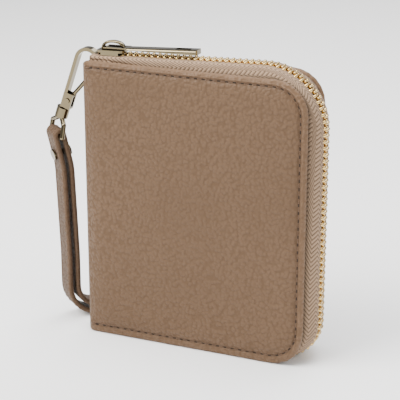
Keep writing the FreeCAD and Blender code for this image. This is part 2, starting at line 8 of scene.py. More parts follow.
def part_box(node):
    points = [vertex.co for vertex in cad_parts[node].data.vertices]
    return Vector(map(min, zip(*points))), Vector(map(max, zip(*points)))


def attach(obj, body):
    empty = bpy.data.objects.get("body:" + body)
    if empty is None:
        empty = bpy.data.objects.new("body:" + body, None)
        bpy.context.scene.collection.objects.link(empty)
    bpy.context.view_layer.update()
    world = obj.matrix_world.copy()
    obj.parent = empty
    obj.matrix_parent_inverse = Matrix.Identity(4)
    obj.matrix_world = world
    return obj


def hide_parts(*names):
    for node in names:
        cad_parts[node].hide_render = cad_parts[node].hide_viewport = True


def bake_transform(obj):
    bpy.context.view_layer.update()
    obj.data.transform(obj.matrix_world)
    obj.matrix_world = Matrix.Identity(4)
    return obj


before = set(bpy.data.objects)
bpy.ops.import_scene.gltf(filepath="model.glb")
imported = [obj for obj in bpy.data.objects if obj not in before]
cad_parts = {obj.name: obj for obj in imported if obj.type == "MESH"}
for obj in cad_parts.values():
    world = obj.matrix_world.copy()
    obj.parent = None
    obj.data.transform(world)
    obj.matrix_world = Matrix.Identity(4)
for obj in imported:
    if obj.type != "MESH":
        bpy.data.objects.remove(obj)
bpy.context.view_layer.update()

MM = 0.001

# ---- Floor, camera and light ----
# The wallet stands alone on a pale sweep of card. The camera looks down a little on the front cover and the
# zip side, and large soft lamps stand above, to the left and to the right.

front_low, front_high = [Vector(corner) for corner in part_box("front_leather")]
skin_low, skin_high = [Vector(corner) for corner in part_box("back_spine_leather")]
wallet_centre = Vector(((skin_low.x + skin_high.x) / 2, 0, (skin_low.z + skin_high.z) / 2))

CAMERA_TURN = math.radians(21.21)
CAMERA_RISE = math.radians(18.90)
CAMERA_DISTANCE = 0.5319
aim_point = wallet_centre + Vector((-0.6, 0, 2.3)) * MM
towards_camera = Vector((
    math.sin(CAMERA_TURN) * math.cos(CAMERA_RISE),
    -math.cos(CAMERA_TURN) * math.cos(CAMERA_RISE),
    math.sin(CAMERA_RISE),
))

camera_data = bpy.data.cameras.new("camera")
camera_data.sensor_width = 36
camera_data.lens = 124.9
camera_data.clip_start = 0.01
camera = bpy.data.objects.new("camera", camera_data)
bpy.context.collection.objects.link(camera)
camera.location = aim_point + towards_camera * CAMERA_DISTANCE
camera.rotation_euler = (-towards_camera).to_track_quat("-Z", "Y").to_euler()
bpy.context.scene.camera = camera


def soft_lamp(name, azimuth, elevation, distance, size, watts, colour=(1, 1, 1)):
    """A large square lamp round the wallet, facing it."""
    data = bpy.data.lights.new(name, "AREA")
    data.size = size
    data.energy = watts
    data.color = colour
    lamp = bpy.data.objects.new(name, data)
    bpy.context.collection.objects.link(lamp)
    turn, rise = math.radians(azimuth), math.radians(elevation)
    away = Vector((math.sin(turn) * math.cos(rise), -math.cos(turn) * math.cos(rise), math.sin(rise)))
    lamp.location = wallet_centre + away * distance
    lamp.rotation_euler = (-away).to_track_quat("-Z", "Y").to_euler()


soft_lamp("key_lamp", -45, 45, 0.9, 0.55, 15.0, (1.0, 0.985, 0.96))
soft_lamp("side_lamp", 75, 30, 0.9, 0.5, 3.0)
soft_lamp("top_lamp", 10, 88, 0.8, 0.6, 9.0)
soft_lamp("back_lamp", 170, 45, 1.0, 0.6, 6.0)

world = bpy.data.worlds.new("studio")
world.use_nodes = True
sky = world.node_tree.nodes["Background"]
sky.inputs["Color"].default_value = (1, 1, 1, 1)
sky.inputs["Strength"].default_value = 0.5
bpy.context.scene.world = world

floor_material = bpy.data.materials.new("floor_card")
floor_material.use_nodes = True
floor_shader = floor_material.node_tree.nodes["Principled BSDF"]
floor_shader.inputs["Base Color"].default_value = (0.98, 0.98, 0.98, 1)
floor_shader.inputs["Roughness"].default_value = 0.9
floor_shader.inputs["Specular IOR Level"].default_value = 0.1
bpy.ops.mesh.primitive_plane_add(size=6)
floor = bpy.context.object
floor.name = "floor"
floor.data.materials.append(floor_material)

# ---- Leather ----
# Pebbled cowhide, drum dyed taupe and lightly finished: soft round pebbles under a millimetre across with
# darker valleys, a slow drift in tone over each panel, and paler edges, partly rubbed polish and partly
# painted highlight.


def node(tree, kind, **settings):
    """A shader or geometry node with its own settings and named inputs."""
    made = tree.nodes.new(kind)
    for key, value in settings.items():
        if key.startswith("in_"):
            made.inputs[key[3:].replace("_", " ")].default_value = value
        else:
            setattr(made, key, value)
    return made


def ramp(tree, source, stops):
    """A colour ramp fed by source; stops are (position, colour)."""
    made = tree.nodes.new("ShaderNodeValToRGB")
    while len(made.color_ramp.elements) < len(stops):
        made.color_ramp.elements.new(0.5)
    for element, (position, colour) in zip(made.color_ramp.elements, stops):
        element.position = position
        element.color = (*colour, 1)
    tree.links.new(source, made.inputs["Fac"])
    return made.outputs["Color"]


def mix(tree, factor, low, high, blend="MIX"):
    """Colours low and high mixed by factor; each is a socket or a plain value."""
    made = tree.nodes.new("ShaderNodeMix")
    made.data_type = "RGBA"
    made.blend_type = blend
    sockets = {"Factor": made.inputs[0], "A": made.inputs[6], "B": made.inputs[7]}
    for name, value in (("Factor", factor), ("A", low), ("B", high)):
        if isinstance(value, bpy.types.NodeSocket):
            tree.links.new(value, sockets[name])
        elif name == "Factor":
            sockets[name].default_value = value
        else:
            sockets[name].default_value = (*value, 1)
    return made.outputs[2]


def math_node(tree, operation, first, second=None):
    """One sum on sockets or numbers."""
    made = tree.nodes.new("ShaderNodeMath")
    made.operation = operation
    for index, value in enumerate((first, second)):
        if value is None:
            continue
        if isinstance(value, bpy.types.NodeSocket):
            tree.links.new(value, made.inputs[index])
        else:
            made.inputs[index].default_value = value
    return made.outputs[0]


def shade(colour, share):
    """The same colour made darker or paler."""
    return tuple(min(channel * share, 1) for channel in colour)


def new_finish(name, **sockets):
    """A new material, its tree, its shader with plain socket values, and its object coordinates."""
    material = bpy.data.materials.new(name)
    material.use_nodes = True
    tree = material.node_tree
    shader = tree.nodes["Principled BSDF"]
    for key, value in sockets.items():
        shader.inputs[key.replace("_", " ")].default_value = value
    return material, tree, shader, node(tree, "ShaderNodeTexCoord").outputs["Object"]


def mottle(tree, place, scale, detail=2.0, **settings):
    """Outputs of a soft uneven noise read at a place."""
    made = node(tree, "ShaderNodeTexNoise", in_Scale=scale, in_Detail=detail, **settings)
    tree.links.new(place, made.inputs["Vector"])
    return made.outputs


def emboss(tree, shader, height, strength, distance):
    """Raise the surface by a height."""
    relief = node(tree, "ShaderNodeBump", in_Strength=strength, in_Distance=distance)
    tree.links.new(height, relief.inputs["Height"])
    tree.links.new(relief.outputs["Normal"], shader.inputs["Normal"])


def pebbled_leather(name, light, deep, pebble_mm, bump, roughness=0.5):
    """Pebbled leather that reads object coordinates, with an attribute for edge wear and painted highlight.
    """
    material, tree, shader, place = new_finish(name, Specular_IOR_Level=0.2, Sheen_Weight=0.01)
    bent = node(tree, "ShaderNodeVectorMath", operation="MULTIPLY_ADD")
    bent.inputs[1].default_value = (0.6 * MM,) * 3
    tree.links.new(mottle(tree, place, 900.0)["Color"], bent.inputs[0])
    tree.links.new(place, bent.inputs[2])
    pebbles = node(tree, "ShaderNodeTexVoronoi", feature="SMOOTH_F1", in_Scale=1000.0 / pebble_mm)
    pebbles.inputs["Smoothness"].default_value = 0.35
    tree.links.new(bent.outputs[0], pebbles.inputs["Vector"])
    creases = mottle(tree, place, 420.0, 4.0, in_Roughness=0.6)["Fac"]
    drift = mottle(tree, place, 24.0)["Fac"]
    dome = ramp(tree, pebbles.outputs["Distance"], [(0.0, (1,) * 3), (0.35, (0.86,) * 3), (0.75, (0,) * 3)])
    drifting = ramp(tree, drift, [(0.32, deep), (0.68, light)])
    shaded = mix(tree, dome, shade(deep, 0.92), drifting)
    # Edges are mixed toward a paler colour: partly rubbed wear, partly a painted highlight.
    worn_and_highlit = node(tree, "ShaderNodeAttribute", attribute_name="wear_and_highlight").outputs["Fac"]
    coloured = mix(tree, math_node(tree, "MULTIPLY", worn_and_highlit, creases), shaded, shade(light, 1.7))
    tree.links.new(coloured, shader.inputs["Base Color"])
    gloss = ramp(tree, dome, [(0.0, (roughness + 0.2,) * 3), (1.0, (roughness - 0.06,) * 3)])
    tree.links.new(gloss, shader.inputs["Roughness"])
    height = math_node(tree, "ADD", dome, math_node(tree, "MULTIPLY", creases, 0.5))
    emboss(tree, shader, height, bump, 0.34 * MM)
    return material


leather = pebbled_leather("taupe_leather", (0.122, 0.071, 0.039), (0.104, 0.060, 0.032), 1.3, 0.8)

# ---- Outer skin ----
# One piece of leather wraps the front cover, the spine and the back cover. Its edge is turned over thin foam
# and a card board and stitched 3.5 mm in, so that it stands up as a round rim round a softly puffed panel.

LEATHER_THICKNESS = 1.2 * MM
SPINE_THICKNESS = 1.6 * MM
CORNER_RADIUS = 14.0 * MM
SPINE_ROUND = 4.0 * MM
STITCH_INSET = 3.5 * MM
BORDER = 9.0 * MM
RIM_RADIUS = 1.4 * MM
RIM_TUCK = 1.0 * MM
GRID_STEP = 2.0 * MM
PANEL_CORNER = CORNER_RADIUS - BORDER
SPINE_REACH = -10.0 * MM
RIM_STEPS = 9
RING_INSETS = [7.6, 6.4, 5.5, 4.9, 4.5, 4.2, 4.0, 3.8, 3.65, 3.5, 3.35, 3.2, 3.0, 2.8, 2.5, 2.2, 1.9]
FRONT_CORNER_GAP = 0.5 * MM
half_spine = FRONT_CORNER_GAP - skin_low.y
wallet_height = front_high.z
panel_width = 92.0 * MM
lean = math.asin((-front_low.y - half_spine) / panel_width)
spine_top = 109.8 * MM


def smooth(value, low, high):
    """0 below low, 1 above high, with an eased rise between."""
    share = min(max((value - low) / (high - low), 0), 1)
    return share * share * (3 - 2 * share)


def panel_axes(side):
    """Direction along a cover away from the spine, and its outward normal."""
    along = Vector((math.cos(lean), side * math.sin(lean), 0))
    outward = Vector((-math.sin(lean), side * math.cos(lean), 0))
    return along, outward


def panel_point(side, reach, height, lift=0.0):
    """A point on a cover: reach from the spine edge, height from the foot, lift off the leather's face."""
    along, outward = panel_axes(side)
    corner = Vector((skin_low.x, side * half_spine, 0))
    return corner + along * reach + outward * lift + Vector((0, 0, height))


def skin_columns():
    """Upright lines across the skin from the front free side, round the spine, to the back free side."""
    setback = SPINE_ROUND / math.tan((math.pi / 2 + lean) / 2)
    far = panel_width - BORDER
    steps = int((far - setback) / GRID_STEP)
    turn_steps, spine_steps = 8, 6
    spine_out = Vector((-1, 0, 0))
    columns = []
    for side in (-1, 1):
        along, outward = panel_axes(side)
        run = []
        for i in range(steps + 1):
            reach = far - (far - setback) * i / steps
            run.append((panel_point(side, reach, 0), outward, along, reach, side))
        centre = panel_point(side, setback, 0) - outward * SPINE_ROUND
        for i in range(1, turn_steps + 1):
            angle = (math.pi / 2 - lean) * i / turn_steps
            normal = outward * math.cos(angle) - along * math.sin(angle)
            tangent = along * math.cos(angle) + outward * math.sin(angle)
            if i == turn_steps:
                normal = spine_out
            run.append((centre + normal * SPINE_ROUND, normal, tangent, -SPINE_ROUND * angle, side))
        columns.append(run)
    front, back = columns
    middle = []
    for i in range(1, spine_steps):
        place = front[-1][0].lerp(back[-1][0], i / spine_steps)
        middle.append((place, spine_out, Vector((0, -1, 0)), SPINE_REACH, 0))
    return front + middle + back[::-1]


def skin_heights():
    """Heights of the skin's rows: close together round the corners and even between them."""
    arc_steps = 6
    lower_rows = []
    for i in range(arc_steps + 1):
        lower_rows.append(BORDER + PANEL_CORNER * (1 - math.cos(math.pi / 2 * i / arc_steps)))
    inner_height = wallet_height - 2 * (BORDER + PANEL_CORNER)
    straight = int(inner_height / GRID_STEP)
    heights = lower_rows + [BORDER + PANEL_CORNER + inner_height * i / straight for i in range(1, straight)]
    return heights + [wallet_height - height for height in reversed(lower_rows)]


def edge_height(reach):
    """Top of the rim: level over the covers and a little lower across the spine."""
    return wallet_height - (wallet_height - spine_top) * (1 - smooth(reach, -8 * MM, -1 * MM))


def rim_radius(reach):
    """Round of the turned edge, thinner across the spine where there is no board."""
    thin = SPINE_THICKNESS / 2
    return thin + (RIM_RADIUS - thin) * smooth(reach, -5 * MM, 2 * MM)


def rim_tuck(rise):
    """How far the rim stands in from the outline, by how much the edge faces up; the foot is full size."""
    return RIM_TUCK * smooth(rise, -0.9, -0.2)


def panel_swell(inset, reach):
    """How far the leather stands off its flat: the rim's crown, the stitch groove and the foam's puff."""
    rim = 0.25 * MM * math.exp(-((inset - 2.3 * MM) / (0.8 * MM)) ** 2)
    groove = -0.3 * MM * math.exp(-((inset - STITCH_INSET) / (0.55 * MM)) ** 2)
    past = max(inset - STITCH_INSET, 0)
    puff = 1.15 * MM * (1 - math.exp(-past / (2.2 * MM))) + 0.55 * MM * smooth(past, 0, 35 * MM)
    return (rim + groove + puff) * smooth(reach, 0, 9 * MM)


def skin_spot(column, height):
    """Where an upright line of the skin crosses a height, with its normal, tangent and reach."""
    place, normal, tangent, reach, side = column
    if side != 0 and reach > 0:
        low = BORDER + PANEL_CORNER - height
        high = height - (wallet_height - BORDER - PANEL_CORNER)
        into = min(max(low, high, 0), PANEL_CORNER)
        narrowed = PANEL_CORNER - math.sqrt(PANEL_CORNER * PANEL_CORNER - into * into)
        reach = reach - narrowed * (reach / (panel_width - BORDER))
        place = panel_point(side, reach, 0)
    z = BORDER + (height - BORDER) * (edge_height(reach) - 2 * BORDER) / (wallet_height - 2 * BORDER)
    return Vector((place.x, place.y, z)), normal, tangent, reach


def skin_face(mesh, columns, heights, lift_of):
    """Rows of corners over the panels and the spine, lifted off the flat by lift_of(inset, reach)."""
    rows = []
    for height in heights:
        row = []
        for column in columns:
            place, normal, tangent, reach = skin_spot(column, height)
            inset = min(place.z, edge_height(reach) - place.z, panel_width - reach)
            row.append(mesh.verts.new(place + normal * lift_of(inset, reach)))
        rows.append(row)
    return rows


def edge_outward(tangent, height, at_end):
    """Direction out of the panel at its edge: sideways and round the corners at its ends, else up or down."""
    low = min(height - (BORDER + PANEL_CORNER), 0)
    vertical = low + max(height - (wallet_height - BORDER - PANEL_CORNER), 0)
    if not at_end:
        return Vector((0, 0, math.copysign(1, vertical)))
    sideways = math.sqrt(max(PANEL_CORNER * PANEL_CORNER - vertical * vertical, 0))
    return (tangent * sideways + Vector((0, 0, vertical))).normalized()


def join_rings(mesh, rings):
    """Faces from each ring of corners to the next."""
    for first, second in zip(rings, rings[1:]):
        for k in range(len(first)):
            after = (k + 1) % len(first)
            mesh.faces.new([first[k], first[after], second[after], second[k]])


def edge_rings(mesh, frames):
    """Rings of corners from the panel over the stitch line, round the turned rim and in behind it."""
    # The attribute makes the rim paler, most at its crest: partly rubbed wear, partly a painted highlight.
    wear_and_highlight = mesh.verts.layers.float.new("wear_and_highlight")
    rings = []
    for inset in RING_INSETS:
        ring = []
        for place, normal, out, reach in frames:
            depth = max(inset * MM, rim_radius(reach) + rim_tuck(out.z))
            made = mesh.verts.new(place + out * (BORDER - depth) + normal * panel_swell(depth, reach))
            made[wear_and_highlight] = 0.25 * smooth(-depth, -3.2 * MM, -1.9 * MM)
            ring.append(made)
        rings.append(ring)
    for k in range(RIM_STEPS + 1):
        angle = math.pi * k / RIM_STEPS
        ring = []
        for place, normal, out, reach in frames:
            radius = rim_radius(reach)
            edge = radius + rim_tuck(out.z)
            crown = panel_swell(edge, reach) * (1 - k / RIM_STEPS)
            spot = place + out * (BORDER - edge + radius * math.sin(angle))
            made = mesh.verts.new(spot + normal * (crown - radius * (1 - math.cos(angle))))
            made[wear_and_highlight] = 0.3 + 0.6 * math.sin(angle) ** 2
            ring.append(made)
        rings.append(ring)
    ring = []
    for place, normal, out, reach in frames:
        edge = rim_radius(reach) + rim_tuck(out.z)
        ring.append(mesh.verts.new(place + out * (BORDER - edge) - normal * LEATHER_THICKNESS))
    return rings + [ring]


def build_skin():
    """The closed shell of the leather: outer face, turned rim and inner face."""
    mesh = bmesh.new()
    columns, heights = skin_columns(), skin_heights()
    last_row, last_column = len(heights) - 1, len(columns) - 1
    loop = [(0, i) for i in range(last_column)]
    loop += [(j, last_column) for j in range(last_row)]
    loop += [(last_row, i) for i in range(last_column, 0, -1)]
    loop += [(j, 0) for j in range(last_row, 0, -1)]
    frames = []
    for j, i in loop:
        place, normal, tangent, reach = skin_spot(columns[i], heights[j])
        frames.append((place, normal, edge_outward(tangent, heights[j], i in (0, last_column)), reach))
    turned = edge_rings(mesh, frames)
    outer = skin_face(mesh, columns, heights, lambda inset, reach: panel_swell(max(inset, BORDER), reach))
    inner = skin_face(mesh, columns, heights, lambda inset, reach: -LEATHER_THICKNESS)
    for rows, order in ((outer, 1), (inner, -1)):
        for low, high in zip(rows, rows[1:]):
            for i in range(last_column):
                mesh.faces.new([low[i], low[i + 1], high[i + 1], high[i]][::order])
    rings = [[outer[j][i] for j, i in loop], *turned, [inner[j][i] for j, i in loop]]
    join_rings(mesh, [ring[::-1] for ring in rings])
    return mesh


def finish_mesh(mesh, name, material):
    """Turn a bmesh into a named smooth object with its material, faces outwards."""
    bmesh.ops.recalc_face_normals(mesh, faces=mesh.faces)
    data = bpy.data.meshes.new(name)
    mesh.to_mesh(data)
    mesh.free()
    for polygon in data.polygons:
        polygon.use_smooth = True
    data.materials.append(material)
    made = bpy.data.objects.new(name, data)
    bpy.context.collection.objects.link(made)
    return made


skin = finish_mesh(build_skin(), "leather_skin", leather)
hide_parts("front_leather", "back_spine_leather")


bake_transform(skin)

# ---- Cover stitching ----
# A single row of thick bonded thread, dyed close to the leather, runs round each cover where the edge is
# turned in. Every stitch dips into a needle hole at both ends, and a short second row locks it at the spine.

STITCH_PITCH = 3.05 * MM
THREAD_RADIUS = 0.27 * MM
THREAD_LIFT = 0.12 * MM
ROW_START = 3.2 * MM
TACK_INSET = STITCH_INSET + 0.9 * MM


def thread_material(name, colour):
    """Twisted thread: fine slanting plies across each stitch."""
    material, tree, shader, place = new_finish(name, Roughness=0.6)
    plies = node(tree, "ShaderNodeTexWave", wave_type="BANDS", bands_direction="DIAGONAL", in_Scale=900.0)
    tree.links.new(place, plies.inputs["Vector"])
    twist = plies.outputs["Fac"]
    tree.links.new(mix(tree, twist, shade(colour, 0.6), colour), shader.inputs["Base Color"])
    emboss(tree, shader, twist, 0.5, 0.1 * MM)
    return material


def row_tree():
    """Geometry nodes that set a piece along a line at a fixed pitch, standing on its upright direction."""
    tree = bpy.data.node_groups.new("set_along_line", "GeometryNodeTree")
    inputs = [("Line", "Geometry"), ("Piece", "Object"), ("Pitch", "Float"), ("Size Spread", "Float")]
    for name, kind in inputs + [("Finish", "Material")]:
        tree.interface.new_socket(name, in_out="INPUT", socket_type="NodeSocket" + kind)
    tree.interface.new_socket("Row", in_out="OUTPUT", socket_type="NodeSocketGeometry")
    given = node(tree, "NodeGroupInput")
    result = node(tree, "NodeGroupOutput")
    curve = node(tree, "GeometryNodeMeshToCurve")
    places = node(tree, "GeometryNodeCurveToPoints", mode="LENGTH")
    upright = node(tree, "GeometryNodeInputNamedAttribute", data_type="FLOAT_VECTOR", in_Name="upright")
    along = node(tree, "FunctionNodeAlignRotationToVector", axis="X")
    stand = node(tree, "FunctionNodeAlignRotationToVector", axis="Z", pivot_axis="X")
    spread = node(tree, "FunctionNodeRandomValue", in_Seed=7)
    smallest = node(tree, "ShaderNodeMath", operation="SUBTRACT")
    largest = node(tree, "ShaderNodeMath", operation="ADD")
    for limit in (smallest, largest):
        limit.inputs[0].default_value = 1.0
        tree.links.new(given.outputs["Size Spread"], limit.inputs[1])
    piece = node(tree, "GeometryNodeObjectInfo")
    setting = node(tree, "GeometryNodeInstanceOnPoints")
    real = node(tree, "GeometryNodeRealizeInstances")
    finish = node(tree, "GeometryNodeSetMaterial")
    for source, outlet, target, inlet in (
        (given, "Line", curve, "Mesh"),
        (curve, "Curve", places, "Curve"),
        (given, "Pitch", places, "Length"),
        (places, "Tangent", along, "Vector"),
        (along, "Rotation", stand, "Rotation"),
        (upright, "Attribute", stand, "Vector"),
        (smallest, 0, spread, 2),
        (largest, 0, spread, 3),
        (given, "Piece", piece, "Object"),
        (places, "Points", setting, "Points"),
        (piece, "Geometry", setting, "Instance"),
        (stand, "Rotation", setting, "Rotation"),
        (spread, 1, setting, "Scale"),
        (setting, "Instances", real, "Geometry"),
        (real, "Geometry", finish, "Geometry"),
        (given, "Finish", finish, "Material"),
        (finish, "Geometry", result, "Row"),
    ):
        tree.links.new(source.outputs[outlet], target.inputs[inlet])
    return tree


set_along_line = row_tree()


def row_of(name, piece, line, uprights, pitch, material, spread=0.0):
    """A plain mesh of the piece repeated along a line of points."""
    data = bpy.data.meshes.new(name)
    data.from_pydata([tuple(point) for point in line], [(i, i + 1) for i in range(len(line) - 1)], [])
    attribute = data.attributes.new("upright", "FLOAT_VECTOR", "POINT")
    for i, direction in enumerate(uprights):
        attribute.data[i].vector = direction
    row = bpy.data.objects.new(name, data)
    bpy.context.collection.objects.link(row)
    modifier = row.modifiers.new("row", "NODES")
    modifier.node_group = set_along_line
    given = {"Piece": piece, "Pitch": pitch, "Size Spread": spread, "Finish": material}
    for item in set_along_line.interface.items_tree:
        if item.name in given:
            modifier[item.identifier] = given[item.name]
    row.update_tag()
    bpy.context.view_layer.update()
    graph = bpy.context.evaluated_depsgraph_get()
    made = bpy.data.meshes.new_from_object(row.evaluated_get(graph))
    row.modifiers.clear()
    row.data = made
    for polygon in made.polygons:
        polygon.use_smooth = True
    return row


def lofted(sections, name, material):
    """A solid through equal rings of points, with its ends filled."""
    mesh = bmesh.new()
    rings = [[mesh.verts.new(point) for point in section] for section in sections]
    join_rings(mesh, rings)
    mesh.faces.new(rings[0][::-1])
    mesh.faces.new(rings[-1])
    return finish_mesh(mesh, name, material)


def stitch_piece(length, radius):
    """One stitch along X: a plump thread that dips at both ends."""
    sections = []
    for step in range(-3, 4):
        share = step / 3
        middle = Vector((share * length / 2, 0, -1.3 * radius * share ** 4))
        thick = radius * (1 - 0.35 * share ** 6)
        ring = []
        for k in range(6):
            angle = 2 * math.pi * k / 6
            ring.append(middle + Vector((0, math.cos(angle), math.sin(angle) * 0.8)) * thick)
        sections.append(ring)
    return lofted(sections, "stitch_piece", cover_thread)


def needle_hole_piece(radius):
    """A shallow dimple pressed round a needle hole, coloured near black as painted shade."""
    sections = []
    for depth, size in ((0.0, 1.0), (0.12, 0.75), (0.16, 0.3)):
        ring = []
        for k in range(8):
            angle = 2 * math.pi * k / 8
            ring.append(Vector((math.cos(angle) * 1.25, math.sin(angle), depth * 0.5)) * radius * size)
        sections.append(ring)
    return lofted(sections, "needle_hole_piece", needle_hole_shade)


def rounded_route(corners, radii, counts):
    """Points and outward normals along runs joined by arcs; counts gives the steps in each stretch."""
    spots = []
    start = Vector(corners[0])
    stretch = 0
    for i in range(1, len(corners) - 1):
        corner = Vector(corners[i])
        before = (Vector(corners[i - 1]) - corner).normalized()
        after = (Vector(corners[i + 1]) - corner).normalized()
        half = before.angle(after) / 2
        arc_start = corner + before * (radii[i - 1] / math.tan(half))
        arc_end = corner + after * (radii[i - 1] / math.tan(half))
        centre = corner + (before + after).normalized() * (radii[i - 1] / math.sin(half))
        out = (arc_start - centre).normalized()
        for k in range(counts[stretch]):
            spots.append((start.lerp(arc_start, k / counts[stretch]), out))
        last_out = (arc_end - centre).normalized()
        turn = out.angle(last_out)
        for k in range(counts[stretch + 1]):
            share = k / counts[stretch + 1]
            spoke = (out * math.sin(turn * (1 - share)) + last_out * math.sin(turn * share)) / math.sin(turn)
            spots.append((centre + spoke * radii[i - 1], spoke))
        start = arc_end
        stretch += 2
    finish = Vector(corners[-1])
    for k in range(counts[stretch] + 1):
        spots.append((start.lerp(finish, k / counts[stretch]), last_out))
    return spots


cover_thread = thread_material("cover_thread", (0.115, 0.058, 0.026))
# Needle holes are coloured near black: painted shade in the holes.
needle_hole_shade, hole_tree, hole_shader, hole_place = new_finish("needle_hole_shade", Roughness=0.95)
hole_speck = mottle(hole_tree, hole_place, 3000.0)["Fac"]
hole_painted_shade = mix(hole_tree, hole_speck, (0.016, 0.009, 0.005), (0.03, 0.017, 0.009))
hole_tree.links.new(hole_painted_shade, hole_shader.inputs["Base Color"])


def cover_line(side, start):
    """The stitch line on a cover, from start along the top, down the free side and back."""
    radius = CORNER_RADIUS - STITCH_INSET
    right = panel_width - STITCH_INSET
    top = wallet_height - STITCH_INSET
    corners = [(start, top), (right, top), (right, STITCH_INSET), (start, STITCH_INSET)]
    line = []
    for (reach, height), out in rounded_route(corners, [radius, radius], [60, 16, 60, 16, 60]):
        height -= (wallet_height - edge_height(reach)) * smooth(height, wallet_height / 2, top)
        line.append(panel_point(side, reach, height, panel_swell(STITCH_INSET, reach) + THREAD_LIFT))
    return line


cover_stitch = stitch_piece(STITCH_PITCH * 0.78, THREAD_RADIUS)
cover_hole = needle_hole_piece(0.56 * MM)
for side, body in ((-1, "front_cover"), (1, "back_cover")):
    outward = panel_axes(side)[1]
    for name, piece, shift, material, spread in (
        ("_stitches", cover_stitch, 0.0, cover_thread, 0.05),
        ("_needle_holes", cover_hole, STITCH_PITCH / 2, needle_hole_shade, 0.0),
    ):
        line = cover_line(side, ROW_START + shift)
        row = row_of(body + name, piece, line, [outward] * len(line), STITCH_PITCH, material, spread)
        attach(row, body)
    for name, height in (("top", wallet_height - TACK_INSET), ("foot", TACK_INSET)):
        tack = []
        for k in range(9):
            reach = (4.0 + k) * MM
            tack.append(panel_point(side, reach, height, panel_swell(TACK_INSET, reach) + 0.1 * MM))
        title = body + "_back_tack_" + name
        locked = row_of(title, cover_stitch, tack, [outward] * 9, STITCH_PITCH, cover_thread)
        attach(locked, body)
for template in (cover_stitch, cover_hole):
    bpy.data.objects.remove(template)

# ---- Zip tapes ----
# Polyester tape woven in a fine herringbone, a shade paler than the leather. It lies flat beside the teeth,
# then slopes down and is sewn inside the rim, and a corded edge carries the teeth.
# Near the seam inside the rim the tape's colour is painted dark: painted shade in the recess.

TAPE_THICKNESS = 0.6 * MM
CORD_SWELL = 1.7
TOOTH_ROOT = 2.7 * MM
TAPE_FLAT = 4.4 * MM
COVER_DEPTH = 3.4 * MM
teeth_low, teeth_high = [Vector(corner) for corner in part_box("front_zip_teeth")]
TOOTH_HALF_HEIGHT = 1.2 * MM
TEETH_SLOPE = math.radians(1.33)
teeth_side = teeth_high.x - TOOTH_HALF_HEIGHT
teeth_foot = teeth_low.z + TOOTH_HALF_HEIGHT
teeth_start = -38.3 * MM
teeth_start_height = wallet_height + 0.2 * MM
tape_start = -43.4 * MM
ROUTE_STEPS = [70, 28, 76, 26, 76]


def teeth_height(x):
    """Height of the top run of teeth at x."""
    return teeth_start_height + (x - teeth_start) * math.tan(TEETH_SLOPE)


def teeth_route(start, counts):
    """The line that the teeth follow, in X and Z."""
    corners = [(start, teeth_height(start)), (teeth_side, teeth_height(teeth_side)), (teeth_side, teeth_foot)]
    corners.append((start, teeth_foot))
    return rounded_route(corners, [23 * MM, 13 * MM], counts)


def herringbone(name, light, dark, chevron_mm=2.6, thread_mm=1.7, steepness=1.2):
    """Woven tape: chevrons of slanting threads, read from the tape's own UV map in metres, painted dark near
    the rim seam as shade.
    """
    uniform = {"Roughness": 0.75, "Sheen_Weight": 0.04, "Specular_IOR_Level": 0.2}
    material, tree, shader, place = new_finish(name, **uniform)
    split = node(tree, "ShaderNodeSeparateXYZ")
    tree.links.new(node(tree, "ShaderNodeTexCoord").outputs["UV"], split.inputs[0])
    columns = math_node(tree, "MULTIPLY", split.outputs["Y"], 1000.0 / chevron_mm)
    within = math_node(tree, "PINGPONG", columns, 1.0)
    slant = math_node(tree, "MULTIPLY", within, steepness * chevron_mm / thread_mm)
    threads = math_node(tree, "MULTIPLY", split.outputs["X"], 1000.0 / thread_mm)
    wave = math_node(tree, "PINGPONG", math_node(tree, "ADD", threads, slant), 0.5)
    wave = math_node(tree, "MULTIPLY", wave, 2.0)
    fuzz = math_node(tree, "MULTIPLY", mottle(tree, place, 2600.0)["Fac"], 0.4)
    height = math_node(tree, "ADD", wave, fuzz)
    # Painted shade: the tape's colour goes dark over the strip that runs in under the rim.
    painted_seam_shade = node(tree, "ShaderNodeAttribute", attribute_name="painted_seam_shade").outputs["Fac"]
    colour = mix(tree, painted_seam_shade, ramp(tree, height, [(0.15, dark), (0.75, light)]), shade(dark, 0.3))
    tree.links.new(colour, shader.inputs["Base Color"])
    emboss(tree, shader, height, 0.8, 0.3 * MM)
    return material


tape_weave = herringbone("tape_weave", (0.33, 0.22, 0.14), (0.055, 0.034, 0.020))


def tape_section(side, teeth_spot, teeth_out, rim_spot, rim_out):
    """Middle line of the tape across its width, from the teeth to the seam inside the rim, with normals."""
    out_teeth = Vector((teeth_out[0], 0, teeth_out[1]))
    out_rim = Vector((rim_out[0], 0, rim_out[1]))
    root = Vector((teeth_spot[0], side * (TOOTH_ROOT - 0.2 * MM), teeth_spot[1]))
    flat = Vector((teeth_spot[0], side * TAPE_FLAT, teeth_spot[1]))
    seam = panel_point(side, rim_spot[0], rim_spot[1], -COVER_DEPTH + 0.1 * MM)
    mouth = panel_point(side, rim_spot[0], rim_spot[1], -COVER_DEPTH - 0.5 * MM)
    line = [root.lerp(flat, k / 4) for k in range(5)]
    handle = flat + Vector((0, side * 1.3 * MM, 0)) - out_teeth * 0.1 * MM
    for k in range(1, 11):
        t = k / 10
        curve = flat * (1 - t) ** 3 + handle * 3 * t * (1 - t) ** 2
        line.append(curve + (mouth + out_rim * 0.7 * MM) * 3 * t * t * (1 - t) + mouth * t ** 3)
    return line + [seam]


def tape_ring(line, out, walked):
    """Corners round the tape's section with their UV places; the first has the cord's extra thickness."""
    tangent = Vector((-out.z, 0, out.x))
    upper, lower = [], []
    across = 0.0
    for k, point in enumerate(line):
        if k:
            across += (point - line[k - 1]).length
        step = line[min(k + 1, len(line) - 1)] - line[max(k - 1, 0)]
        normal = step.cross(tangent).normalized()
        if normal.dot(out) < 0:
            normal.negate()
        thick = TAPE_THICKNESS / 2 * (CORD_SWELL if k == 0 else 1.0)
        upper.append((point + normal * thick, (walked, across)))
        lower.append((point - normal * thick, (walked, across)))
    return upper + lower[::-1]


